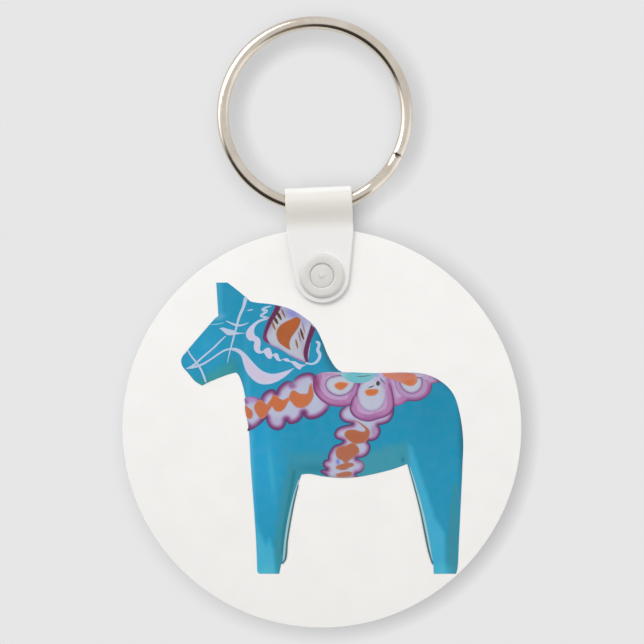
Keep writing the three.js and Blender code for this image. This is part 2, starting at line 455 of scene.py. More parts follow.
def new_material(name, colour, roughness, metallic=0.0):
    """A material, its node tree and its shader's inputs."""
    material = bpy.data.materials.new(name)
    material.use_nodes = True
    tree = material.node_tree
    shader = tree.nodes["Principled BSDF"].inputs
    wire(tree, shader, {"Base Color": (*linear(colour), 1), "Roughness": roughness, "Metallic": metallic})
    return material, tree, shader


def noise(tree, scale, detail=2.0, stretch=(1, 1, 1)):
    """Noise in the piece's own coordinates. scale is cells per metre, before the stretch."""
    place = add_node(tree, "TexCoord", "Object", {})
    stretched = add_node(tree, "Mapping", "Vector", {"Vector": place, "Scale": stretch})
    return add_node(tree, "TexNoise", "Fac", {"Vector": stretched, "Scale": scale, "Detail": detail})


def ranged(tree, value, low, high):
    """Noise, spread over low to high."""
    spread = {"Value": value, "From Min": NOISE_LOW, "From Max": NOISE_HIGH, "To Min": low, "To Max": high}
    return add_node(tree, "MapRange", "Result", spread)


def ramped(tree, value, *stops):
    """A colour from a value, by (position, colour) stops."""
    found = add_node(tree, "ValToRGB", "Color", {"Fac": value})
    elements = found.node.color_ramp.elements
    while len(elements) < len(stops):
        elements.new(0.5)
    for element, (position, colour) in zip(elements, stops):
        element.position = position
        element.color = (*linear(colour), 1)
    return found


def tinted(tree, value, first, second):
    """Noise as a colour between two."""
    return ramped(tree, value, (NOISE_LOW, first), (NOISE_HIGH, second))


def bump(tree, height, strength, distance):
    return add_node(tree, "Bump", "Normal", {"Height": height, "Strength": strength, "Distance": distance})


def nickel():
    """Plated spring steel: warm, polished, with faint drawn marks and a few duller patches."""
    material, tree, shader = new_material("nickel_steel", (218, 209, 196), 0.14, 1.0)
    wire(tree, shader, {
        "Base Color": tinted(tree, noise(tree, 350, 3), (210, 200, 186), (226, 218, 206)),
        "Roughness": ranged(tree, noise(tree, 1600, 4), 0.10, 0.19),
        "Normal": bump(tree, noise(tree, 5200, 2), 0.05, 0.00002),
    })
    return material


def frosted_plastic():
    """Milky polypropylene with a fine moulded grain, and painted light: greyer round the fold, where nothing
    white backs it, as painted shade for the shaded surface seen through it; whiter along the fold's top and
    over the tag.
    """
    material, tree, shader = new_material("strap_plastic", (240, 239, 236), 0.42)
    grain = noise(tree, 5000, 3)
    clouds = ranged(tree, noise(tree, 260, 2), -0.012, 0.012)
    place = add_node(tree, "TexCoord", "Object", {})
    down = add_node(tree, "VectorMath", "Value", {0: place, 1: DOWN}, operation="DOT_PRODUCT")
    top = RING_CENTRE.dot(DOWN) + STRAP_TOP_DEPTH
    limits = {"From Min": top * MM, "From Max": (top + PAINTED_SHADE_LENGTH) * MM}
    depth = add_node(tree, "MapRange", "Result", {"Value": down, **limits})
    painted_shade_and_clouds = add_node(tree, "Math", "Value", {0: depth, 1: clouds}, operation="ADD")
    # Painted light: near white at the fold's top as a painted highlight, grey down the fold as painted shade
    # where the shaded surface would show through, and white again over the tag, where the lit white board
    # would show through.
    colour = ramped(
        tree, painted_shade_and_clouds,
        (0.0, (254, 254, 253)),
        (0.09, (252, 252, 250)),
        (0.14, (241, 239, 233)),
        (0.55, (237, 234, 227)),
        (0.72, (239, 236, 230)),
        (0.9, (250, 249, 247)),
        (1.0, (251, 250, 249)),
    )
    wire(tree, shader, {
        "Base Color": colour,
        "Roughness": ranged(tree, grain, 0.36, 0.48),
        "Normal": bump(tree, grain, 0.12, 0.00003),
        "Alpha": PLASTIC_ALPHA,
    })
    return material


def snap_plastic():
    """The snap's denser plastic: a milky grey with a duller shine."""
    material, tree, shader = new_material("snap_plastic", (233, 232, 228), 0.4)
    grain = noise(tree, 4200, 3)
    wire(tree, shader, {
        "Base Color": tinted(tree, noise(tree, 600, 2), (231, 229, 225), (236, 234, 231)),
        "Roughness": ranged(tree, grain, 0.30, 0.42),
        "Normal": bump(tree, grain, 0.10, 0.00003),
        "Alpha": PLASTIC_ALPHA,
        "Specular IOR Level": 0.3,
    })
    return material


def board():
    """The tag's cut board: white, matt, with a fine grain along its edge."""
    material, tree, shader = new_material("board_core", (243, 242, 239), 0.5)
    fibre = noise(tree, 900, 4, (1, 9, 1))
    wire(tree, shader, {
        "Base Color": tinted(tree, fibre, (238, 236, 231), (246, 245, 243)),
        "Roughness": ranged(tree, fibre, 0.5, 0.68),
        "Normal": bump(tree, fibre, 0.2, 0.00005),
    })
    return material


def white_gloss():
    """The tag's glossy white coat, with the faintest ripple."""
    material, tree, shader = new_material("white_coat", (246, 245, 243), 0.2)
    ripple = noise(tree, 240, 2)
    wire(tree, shader, {
        "Base Color": tinted(tree, ripple, (245, 244, 242), (248, 247, 245)),
        "Roughness": ranged(tree, noise(tree, 900, 3), 0.17, 0.24),
        "Normal": bump(tree, ripple, 0.05, 0.0001),
        "Specular IOR Level": GLOSS_SPECULAR,
    })
    return material


def ink():
    """Printed ink: the artwork's own colours, with slight brush mottling, under the same gloss."""
    material, tree, shader = new_material("horse_ink", (42, 147, 180), 0.22)
    drawn = add_node(tree, "Attribute", "Color", {}, attribute_name="ink")
    mottling = noise(tree, 1500, 3, (1, 1, 0.6))
    mottled = {
        "Color": drawn,
        "Value": ranged(tree, mottling, 0.985, 1.015),
        "Saturation": ranged(tree, noise(tree, 700, 2), 0.985, 1.015),
    }
    wire(tree, shader, {
        "Base Color": add_node(tree, "HueSaturation", "Color", mottled),
        "Roughness": ranged(tree, mottling, 0.19, 0.26),
        "Specular IOR Level": GLOSS_SPECULAR,
    })
    return material


# ---------------------------------------------------------------- camera, surface and light

FACE_WIDTH_IN_VIEW = 92.1
VIEW_ACROSS = 1.03
VIEW_DOWN = 29.77
LENS = 100
SENSOR = 36
CLIP_NEAR = 0.01
CLIP_FAR = 20

SURFACE_GAP = 0.05
SURFACE_REACH = 150
SHADE_DIRECTION = (-0.66, -0.62, 0.42)
SHADE_REACH = 3.6
SHADE_DEPTH = 0.78
SHADE_SAMPLES = 16
PAPER_GREY = (0.796, 0.796, 0.798, 1)

KEY_DIRECTION = (-0.42, -0.80, 0.48)
KEY_DISTANCE = 1.5
KEY_SIZE = 0.7
KEY_WATTS = 7.6
ROOM_GREY = (0.81, 0.805, 0.80, 1)
# The room's fill, what lies below, its dark corner and its window: each one's direction, edge and core in
# degrees, and light.
ROOM_PARTS = [
    ((0.80, -0.45, -0.40), 45, 20, (1.15, 1.15, 1.15, 1)),
    ((0.05, -0.66, -0.75), 38, 20, (0.26, 0.22, 0.19, 1)),
    ((-0.50, -0.62, -0.60), 44, 28, (0.05, 0.042, 0.036, 1)),
    ((-0.80, -0.54, 0.24), 30, 6, (1.8, 1.8, 1.8, 1)),
]


def add_camera():
    """A level camera that looks along +Y at the printed face."""
    data = bpy.data.cameras.new("camera")
    data.lens = LENS
    data.sensor_width = SENSOR
    data.clip_start = CLIP_NEAR
    data.clip_end = CLIP_FAR
    camera = add_object("camera", data)
    distance = FACE_WIDTH_IN_VIEW * LENS / SENSOR
    camera.location = (RING_CENTRE + Vector((VIEW_ACROSS, print_low.y - distance, -VIEW_DOWN))) * MM
    camera.rotation_euler = (math.pi / 2, 0, 0)
    bpy.context.scene.camera = camera


def paper_shade():
    """Clear, and grey only where something lies close in front of it on the side that the light comes from.
    It takes no light from the back of the tag, and shows only from its front."""
    material = bpy.data.materials.new("paper_shade")
    material.use_nodes = True
    tree = material.node_tree
    lit_from = add_node(tree, "CombineXYZ", "Vector", dict(zip("XYZ", SHADE_DIRECTION)))
    around = {"Distance": SHADE_REACH * MM, "Normal": lit_from}
    near = add_node(tree, "AmbientOcclusion", "AO", around, samples=SHADE_SAMPLES)
    shade = add_node(tree, "MapRange", "Result", {"Value": near, "To Min": 1 - SHADE_DEPTH})
    seen = add_node(tree, "LightPath", "Is Camera Ray", {})
    unseen = add_node(tree, "Math", "Value", {0: 1, 1: seen}, operation="SUBTRACT")
    from_behind = add_node(tree, "NewGeometry", "Backfacing", {})
    clear = add_node(tree, "Math", "Value", {0: unseen, 1: from_behind}, operation="MAXIMUM")
    passed = add_node(tree, "Math", "Value", {0: shade, 1: clear}, operation="MAXIMUM")
    sheet = add_node(tree, "BsdfTransparent", "BSDF", {"Color": passed})
    wire(tree, tree.nodes["Material Output"].inputs, {"Surface": sheet})
    return material


def add_surface():
    """The pale surface that the key ring lies on: the world's plain grey, and a clear sheet with the
    soft shade on it. Nothing is hidden when the tag swings through it."""
    y = cad_high.y / MM + SURFACE_GAP
    corners = [(-1, -1), (1, -1), (1, 1), (-1, 1)]
    reach = SURFACE_REACH * MM
    vertices = [(TAG_CENTRE.x * MM + u * reach, y * MM, TAG_CENTRE.z * MM + v * reach) for u, v in corners]
    mesh = bpy.data.meshes.new("surface")
    mesh.from_pydata(vertices, [], [(0, 1, 2, 3)])
    mesh.materials.append(paper_shade())
    add_object("surface", mesh)


def add_key():
    """A square soft light, up to the left, that faces the middle of the key ring."""
    data = bpy.data.lights.new("key", "AREA")
    data.size = KEY_SIZE
    data.energy = KEY_WATTS
    light = add_object("key", data)
    away = Vector(KEY_DIRECTION).normalized()
    light.location = (cad_low + cad_high) / 2 + away * KEY_DISTANCE
    light.rotation_mode = "QUATERNION"
    light.rotation_quaternion = away.to_track_quat("Z", "Y")


def lobe(tree, place, direction, edge, core):
    """1 around a direction and 0 away from it. edge and core are angles in degrees."""
    facing = {0: place, 1: Vector(direction).normalized()}
    towards = add_node(tree, "VectorMath", "Value", facing, operation="DOT_PRODUCT")
    limits = {"From Min": math.cos(math.radians(edge)), "From Max": math.cos(math.radians(core))}
    return add_node(tree, "MapRange", "Result", {"Value": towards, **limits}, interpolation_type="SMOOTHSTEP")


def mixed(tree, share, first, second):
    """first where share is 0 and second where it is 1."""
    return add_node(tree, "MixRGB", "Color", {"Fac": share, "Color1": first, "Color2": second})


def add_world():
    """A soft grey room with a bright window to the left, seen by the camera as the plain grey surface."""
    world = bpy.data.worlds.new("surround")
    world.use_nodes = True
    bpy.context.scene.world = world
    tree = world.node_tree
    place = add_node(tree, "TexCoord", "Generated", {})
    room = ROOM_GREY
    for direction, edge, core, light in ROOM_PARTS:
        room = mixed(tree, lobe(tree, place, direction, edge, core), room, light)
    seen = add_node(tree, "LightPath", "Is Camera Ray", {})
    surround = mixed(tree, seen, room, PAPER_GREY)
    wire(tree, tree.nodes["Background"].inputs, {"Color": surround, "Strength": 1.0})


add_camera()
add_surface()
add_key()
add_world()
bpy.context.scene.view_settings.view_transform = "Standard"

# ---------------------------------------------------------------- split ring

WIRE_STEPS = 420
WIRE_SECTION_STEPS = 28
SECTION_SQUARENESS = 2.15
WIRE_TIP_STEPS = 5
WIRE_TIP_ROUNDING = 0.45


def wire_centre(travelled):
    """The wire's centre at an angle travelled, and the direction out from the ring's centre."""
    share = min(max((travelled - 360 + CROSSING_HALF_SPAN) / (2 * CROSSING_HALF_SPAN), 0), 1)
    crossing = share * share * (3 - 2 * share)
    y = TURN_OFFSET * (2 * crossing - 1)
    angle = math.radians(CROSSING_ANGLE + travelled)
    out = Vector((math.cos(angle), 0, math.sin(angle)))
    return RING_CENTRE + out * WIRE_RADIUS + TOWARDS_BACK * y, out


def split_ring(finish):
    """One sprung wire in two turns that lie side by side, with rounded cut ends."""
    start = CROSSING_HALF_SPAN + WIRE_END_GAP
    end = 720 - start
    tip = math.degrees(WIRE_HALF_HEIGHT / WIRE_RADIUS)
    turns = [math.pi / 2 * i / WIRE_TIP_STEPS for i in range(WIRE_TIP_STEPS)]
    first = [start + tip * (1 - math.cos(turn)) for turn in turns]
    sizes = [1 - WIRE_TIP_ROUNDING * (1 - math.sin(turn)) for turn in turns]
    middle = [start + tip + (end - start - 2 * tip) * i / WIRE_STEPS for i in range(WIRE_STEPS + 1)]
    stations = first + middle + [start + end - station for station in reversed(first)]
    sizes = sizes + [1.0] * len(middle) + sizes[::-1]
    power = 2 / SECTION_SQUARENESS
    count = WIRE_SECTION_STEPS
    vertices = []
    for travelled, size in zip(stations, sizes):
        centre, out = wire_centre(travelled)
        for i in range(count):
            angle = 2 * math.pi * i / count
            wide = math.copysign(abs(math.cos(angle)) ** power, math.cos(angle)) * WIRE_HALF_WIDTH
            high = math.copysign(abs(math.sin(angle)) ** power, math.sin(angle)) * WIRE_HALF_HEIGHT
            vertices.append(centre + (out * wide + TOWARDS_BACK * high) * size)
    faces = tube_faces(0, count, len(stations))
    last = (len(stations) - 1) * count
    faces.append(tuple(range(count)))
    faces.append(tuple(range(last, last + count)))
    return new_piece("split_ring_wire", vertices, faces, finish)


# ---------------------------------------------------------------- strap and snap


def leaf_offset(depth):
    """How far a leaf's middle is from the strap's mid-plane."""
    share = min(max((depth - FOLD_DEPTH) / (CLAMP_DEPTH - FOLD_DEPTH), 0), 1)
    closing = share * share * (3 - 2 * share)
    return FOLD_RADIUS + (LEAF_OFFSET - FOLD_RADIUS) * closing


def strap_middle(run):
    """A point of the strap's middle as (y, depth). run is depth down the rear leaf, and goes on up over
    the fold and down the front leaf as it falls below the fold's depth."""
    if run >= FOLD_DEPTH:
        return leaf_offset(run), run
    angle = (FOLD_DEPTH - run) / FOLD_RADIUS
    if angle <= math.pi:
        return FOLD_RADIUS * math.cos(angle), FOLD_DEPTH - FOLD_RADIUS * math.sin(angle)
    depth = 2 * FOLD_DEPTH - math.pi * FOLD_RADIUS - run
    return -leaf_offset(depth), depth


def strap_place(across, run, height):
    """A point of the strap, with height out from the middle towards the outside of the fold."""
    y, depth = strap_middle(run)
    y_before, depth_before = strap_middle(run - DIRECTION_STEP)
    y_after, depth_after = strap_middle(run + DIRECTION_STEP)
    along = Vector((y_after - y_before, depth_after - depth_before)).normalized()
    y += height * along.y
    depth -= height * along.x
    return RING_CENTRE + ACROSS * across + TOWARDS_BACK * y + DOWN * depth


def front_leaf_place(across, depth, height):
    """A point of the front leaf, with height out towards the viewer."""
    return strap_place(across, 2 * FOLD_DEPTH - math.pi * FOLD_RADIUS - depth, height)


def leaf_outline(top):
    """A leaf from a top edge down its straight sides and its taper to its round end."""
    half = STRAP_WIDTH / 2
    rise = SNAP_DEPTH - TAPER_DEPTH
    meeting = math.atan2(rise, half) - math.acos(STRAP_END_RADIUS / math.hypot(half, rise))
    turn = np.linspace(-meeting, math.pi + meeting, 48)
    end = np.column_stack([STRAP_END_RADIUS * np.cos(turn), SNAP_DEPTH + STRAP_END_RADIUS * np.sin(turn)])
    corners = [[(-half, top)], [(half, top)], [(half, TAPER_DEPTH)]]
    return outline(*corners, end[:1], end[1:], [(-half, TAPER_DEPTH)])


def strap(finish):
    """The strap's rear piece, with the fold, and its front leaf."""

    def leaf(name, top, hole_radius, place):
        hole = circle(hole_radius + FIT_GAP, (0, SNAP_DEPTH), clockwise=True)
        outlines = [leaf_outline(top), hole]
        half = STRAP_THICKNESS / 2
        return rounded_plate(name, outlines, half, STRAP_ROUNDING, place, finish, LEAF_GRID, top)

    rear_top = 2 * FOLD_DEPTH - math.pi * FOLD_RADIUS - HINGE_DEPTH
    rear = leaf("strap_fold", rear_top, STUD_BASE_RADIUS, strap_place)
    front = leaf("strap_leaf", HINGE_DEPTH + HINGE_GAP, SOCKET_SPIGOT_RADIUS, front_leaf_place)
    return rear, front


def snap_place(u, v, height):
    """Round pieces of the snap. height runs towards the viewer from the strap's mid-plane."""
    return SNAP + Vector((u, -height, v))


def snap_stud(finish):
    """The post: its base set in the rear leaf, a shank and a low dome with a nub."""
    inner = LEAF_OFFSET - STRAP_THICKNESS / 2
    outer = LEAF_OFFSET + STRAP_THICKNESS / 2
    tip = outer + SOCKET_COLLAR_HEIGHT - STUD_SINK
    base = STUD_BASE_ROUNDING
    profile = [(0, -outer)]
    profile += rounded_corner(STUD_BASE_RADIUS - base, base - outer, base, -90)
    profile += [(STUD_BASE_RADIUS, -inner - FIT_GAP), (STUD_RADIUS, -inner - FIT_GAP)]
    profile += [(STUD_RADIUS, tip - STUD_ROUNDING)]
    for degrees in range(10, 91, 10):
        angle = math.radians(degrees)
        radius = NUB_RADIUS + (STUD_RADIUS - NUB_RADIUS) * math.cos(angle)
        profile.append((radius, tip - STUD_ROUNDING * (1 - math.sin(angle))))
    profile += [(share * NUB_RADIUS, tip + rise * NUB_HEIGHT) for share, rise in NUB_PROFILE]
    return turned("snap_post", profile, POST_STEPS, snap_place, finish)


def snap_socket(finish):
    """The collar: a spigot through the front leaf and a raised round rim on its face."""
    inner = LEAF_OFFSET - STRAP_THICKNESS / 2
    outer = LEAF_OFFSET + STRAP_THICKNESS / 2
    face = outer + SOCKET_COLLAR_HEIGHT
    bore = BORE_ROUNDING
    rim = COLLAR_ROUNDING
    profile = [(SOCKET_BORE_RADIUS, inner + FIT_GAP)]
    profile += rounded_corner(SOCKET_BORE_RADIUS + bore, face - bore, bore, 180, -90)
    profile += rounded_corner(SOCKET_COLLAR_RADIUS - rim, face - rim, rim, 90, -90)
    profile += [(SOCKET_COLLAR_RADIUS, outer + FIT_GAP), (SOCKET_SPIGOT_RADIUS, outer + FIT_GAP)]
    profile += [(SOCKET_SPIGOT_RADIUS, inner + FIT_GAP)]
    return turned("snap_collar", profile, COLLAR_STEPS, snap_place, finish)


# ---------------------------------------------------------------- tag


def tag_plate(name, low_y, high_y, radius, rounding, finish):
    """A round plate with the snap's hole."""
    middle = (low_y + high_y) / 2

    def place(u, v, height):
        return Vector((TAG_CENTRE.x + u, middle - height, TAG_CENTRE.z + v))

    outlines = [
        circle(radius, steps=TAG_STEPS),
        circle(HOLE_RADIUS, (0, HOLE_HEIGHT), steps=POST_STEPS, clockwise=True),
    ]
    return rounded_plate(name, outlines, (high_y - low_y) / 2, rounding, place, finish)


# ---------------------------------------------------------------- artwork: paints

GLOSS_LIFT = 0.010
INK_GRID = 0.2
GIRTH_GRID = 0.17
DARKEST_INK = 0.002
BODY_GRID = 0.26


def plain(colour):
    def paint(points, distance):
        return np.tile(np.array(colour, float), (len(points), 1))

    return paint


def rimmed(*stops):
    """Colours by distance in from the painted edge, as (distance, colour) stops."""
    places = [stop[0] for stop in stops]
    channels = np.array([stop[1] for stop in stops], float).T

    def paint(points, distance):
        return np.column_stack([np.interp(distance, places, channel) for channel in channels])

    return paint


def touched(paint, *touches):
    """A paint with soft touches on it: (x, z, reach along, reach across, degrees, colour, strength)."""

    def touched_paint(points, distance):
        colours = paint(points, distance)
        for x, z, along, across, degrees, colour, strength in touches:
            angle = math.radians(degrees)
            u = (points[:, 0] - x) * math.cos(angle) + (points[:, 1] - z) * math.sin(angle)
            v = (points[:, 1] - z) * math.cos(angle) - (points[:, 0] - x) * math.sin(angle)
            cover = strength * np.exp(-((u / along) ** 2) - (v / across) ** 2)
            colours += cover[:, None] * (np.array(colour, float) - colours)
        return colours

    return touched_paint


def filled(paint, *areas):
    """A paint with soft-edged areas on it: (corners, softness, colour, strength)."""

    def filled_paint(points, distance):
        colours = paint(points, distance)
        for corners, softness, colour, strength in areas:
            area = np.array(corners, float)
            depth = line_distance(points, closed(area))
            depth = np.where(inside(points, [area]), depth, -depth)
            cover = strength * np.clip(0.5 + depth / softness, 0, 1)
            colours += cover[:, None] * (np.array(colour, float) - colours)
        return colours

    return filled_paint


def ink_piece(name, shapes, finish):
    """Painted shapes as thin closed layers on the coat: (outline, layer, paint, rim lines or None, grid)."""
    vertices = []
    faces = []
    colours = []
    for drawn, layer, paint, rim, grid in shapes:
        points, triangles = cap([drawn], grid)
        distance = line_distance(points, *(rim or [closed(drawn)]))
        tone = np.maximum(linear(np.clip(paint(points, distance), 0, 255)) - GLOSS_LIFT, DARKEST_INK)
        first = len(vertices)
        count = len(points)
        for y in (print_high.y, print_high.y - LAYER_STEP * (layer + 1)):
            vertices += [(TAG_CENTRE.x + x, y, TAG_CENTRE.z + z) for x, z in points]
            colours.append(tone)
        faces += [tuple(first + i for i in triangle) for triangle in triangles]
        faces += [tuple(first + count + i for i in reversed(triangle)) for triangle in triangles]
        sides = {}
        for triangle in triangles:
            for a, b in zip(triangle, triangle[1:] + triangle[:1]):
                if (b, a) in sides:
                    del sides[(b, a)]
                else:
                    sides[(a, b)] = True
        faces += [(first + b, first + a, first + count + a, first + count + b) for a, b in sides]
    piece = new_piece(name, vertices, faces, finish, np.vstack(colours))
    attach(piece, "disc")
    return piece


def shape(drawn, layer, paint, rim=None, grid=INK_GRID):
    return drawn, layer, paint, rim, grid


def strokes(layer, paint, *drawn):
    return [shape(one, layer, paint, grid=None) for one in drawn]


# ---------------------------------------------------------------- artwork: the horse's body

BLUE = (40, 148, 185)
DEEP_BLUE = (33, 138, 172)
DARK_EDGE = (34, 114, 138)
HEAD_BLUE = (47, 160, 202)
SHADE_TEAL = (52, 136, 156)
PALE_FOOT = (80, 184, 206)


def body_outline():
    """The horse's outline. Each run starts where the one before ends."""
    ear = [(-13.5, 20.85)]
    ear_back = [(-12, 19.7), (-10.2, 18.15)]
    crest = [
        (-9.5, 18), (-6.9, 17.7), (-4.6, 17.1), (-2.7, 16), (-1, 14.5), (0, 12.6), (0.9, 10.4), (2.1, 8.55),
        (2.9, 8.05),
    ]
    back = [
        (8, 7.9), (11.9, 8), (14.9, 7.7), (17.2, 6.6), (18.8, 4.9), (19.7, 2.2), (20.2, -1.6), (20.1, -5.5),
        (19.6, -16.2), (19.4, -20), (19.2, -20.8),
    ]
    hind_sole = [(16, -20.8)]
    hind_ankle = [(15.95, -19.6)]
    hind_leg = [(15.75, -19.4), (15.4, -18.3), (14.4, -13), (13.6, -9.8), (12.2, -5.1)]
    belly = [(9.95, -5.9), (5.5, -6.9), (3.05, -7.1), (0.4, -6.9), (-1.9, -6.5), (-2.9, -6.6)]
    front_leg = [(-3.4, -8), (-4.95, -15), (-5.25, -18.8), (-5.85, -19.5)]
    front_ankle = [(-6.1, -20.8)]
    front_sole = [(-8.9, -20.8)]
    foot_corner = [(-9.2, -20.6), (-9.25, -20.2)]
    chest = [
        (-9.4, -16.2), (-10.2, -4.7), (-10.4, -0.8), (-10.8, 3.4), (-11.3, 6.05), (-11.9, 7.6), (-12.3, 8),
    ]
    jaw = [(-13.4, 7.7), (-16.4, 6.5), (-17.1, 6.1)]
    muzzle = [
        (-18.1, 6.7), (-19.2, 8), (-19.95, 8.9), (-20.1, 9.9), (-19.1, 11.3), (-16.7, 14.1), (-15.3, 15.7),
        (-14.8, 16.1),
    ]
    ear_front = [(-15.1, 20.85)]
    return outline(ear, ear_back, crest, back, hind_sole, hind_ankle, hind_leg, belly, front_leg, front_ankle,
                   front_sole, foot_corner, chest, jaw, muzzle, ear_front)


def body_paint():
    """Painted and glazed wood: a blue that is deeper on the rump, greyer underneath, with bright facets
    down each leg and along the chest."""
    belly_shade = [(4, -4.2), (7, -3.3), (9, -2.6), (12.3, -2.0), (12.9, -5.6), (9.9, -7), (4, -8)]
    front_shade = [(-5.6, -3.4), (0.9, -3.4), (3, -4.4), (3, -8), (-3, -8)]
    leg_shade = [(-4.4, -4.5), (-3.2, -6.6), (-4.4, -11), (-5.2, -15), (-5.4, -19), (-6, -21), (-6.7, -21),
                 (-6.9, -17.5), (-6.3, -12.5), (-5.7, -8)]
    leg_rim = [(-3.7, -6), (-4.05, -8), (-4.6, -11), (-5.3, -15), (-5.6, -18), (-5.9, -18), (-5.7, -15),
               (-5, -11), (-4.5, -8), (-4.1, -6)]
    front_foot = [(-9.45, -13.5), (-8.9, -14.8), (-8, -16.7), (-7.5, -15.6), (-6.9, -17.5), (-6.6, -21),
                  (-9.5, -21)]
    hind_front = [(12.3, -2.3), (12.9, -2.6), (14.6, -8), (16.1, -12.6), (17.6, -15), (17.7, -21),
                  (15.9, -21), (15.2, -16), (13.9, -10.5), (12.6, -6)]
    hind_back = [(18.9, -8), (19.5, -8), (19.7, -21), (18, -21), (17.9, -16), (18.3, -12)]
    jaw_shade = [(-19.4, 7.4), (-17.6, 6.9), (-15.2, 8.5), (-12.6, 9.6), (-12.0, 7.5), (-17.1, 5.8)]
    ear_light = [(-15.2, 21), (-14.3, 21), (-14.2, 16), (-15.2, 16)]
    shaded = filled(
        plain(BLUE),
        (belly_shade, 1.0, (70, 152, 168), 0.85),
        (front_shade, 1.4, (62, 148, 168), 0.75),
        (leg_shade, 1.0, (60, 141, 158), 0.9),
        (leg_rim, 0.3, (36, 116, 124), 0.7),
        (front_foot, 0.6, (76, 180, 212), 0.85),
        (hind_front, 0.6, (70, 174, 210), 0.9),
        (hind_back, 0.9, (62, 141, 157), 0.85),
        (jaw_shade, 1.2, (62, 152, 154), 0.95),
        (ear_light, 0.3, (74, 170, 206), 0.6),
    )
    return touched(
        shaded,
        (16, 3, 5, 6, 0, DEEP_BLUE, 0.7),
        (-8.4, -4, 2.6, 9, 2, (46, 164, 212), 0.75),
        (-5, 12, 4, 5, 0, (44, 151, 191), 0.6),
        (-16.8, 11.4, 4, 3, 40, HEAD_BLUE, 0.8),
        (-14.7, 15.9, 0.9, 0.4, 20, (111, 172, 203), 0.9),
        (-12.4, 9, 1, 2.0, 20, SHADE_TEAL, 0.45),
        (0.9, 11.2, 0.9, 3.2, 22, (38, 104, 126), 0.95),
        (1.9, 8.8, 0.9, 0.6, 0, (44, 120, 142), 0.6),
        (-10.1, -6, 0.45, 14, 2.4, (86, 180, 216), 0.85),
        (-7.2, -6.3, 0.35, 3.6, 6, (66, 176, 208), 0.8),
        (-8.1, -20.4, 1.3, 0.8, 0, PALE_FOOT, 0.8),
        (-1, -5.7, 2.4, 0.7, 0, (44, 126, 148), 0.7),
        (11.6, -4.5, 0.25, 0.4, 0, (34, 116, 136), 0.8),
        (20.1, 0, 0.55, 9, 1, DARK_EDGE, 0.95),
        (18.6, 5.6, 0.5, 2.6, 52, (36, 120, 146), 0.7),
        (17.2, -20.3, 1.3, 0.8, 0, PALE_FOOT, 0.8),
    )


def print_body(finish):
    """The horse's body, with a pale and a dark line along the inside of each leg."""
    pale_line = plain((160, 200, 207))
    dark_line = rimmed((0, (74, 118, 126)), (0.2, (98, 134, 138)))
    shapes = [shape(body_outline(), 0, body_paint(), grid=BODY_GRID)]
    shapes += strokes(
        1, pale_line,
        stroke((-3.35, -7.4, 0.1), (-4.1, -10, 0.2), (-4.75, -13, 0.28), (-5.2, -16, 0.3), (-5.5, -19, 0.25)),
        stroke(
            (12.6, -5.6, 0.1), (13.45, -8.4, 0.22), (14.35, -11.8, 0.3), (15.05, -15, 0.3),
            (15.75, -18.9, 0.2),
        ),
    )
    shapes += strokes(
        2, dark_line,
        stroke(
            (-3.35, -8.1, 0.08), (-4.0, -10.7, 0.16), (-4.95, -16, 0.24), (-5.2, -18.6, 0.26),
            (-5.6, -19.3, 0.2),
        ),
        stroke((12.45, -5.7, 0.08), (13.95, -11.2, 0.2), (15.3, -17.6, 0.26), (15.8, -19.3, 0.2)),
    )
    piece = ink_piece("print_body", shapes, finish)
    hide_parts("horse_print")
    return piece


# ---------------------------------------------------------------- artwork: bridle and neck lines

LINE_WHITE = (204, 203, 230)
LINE_CYAN = (150, 205, 224)


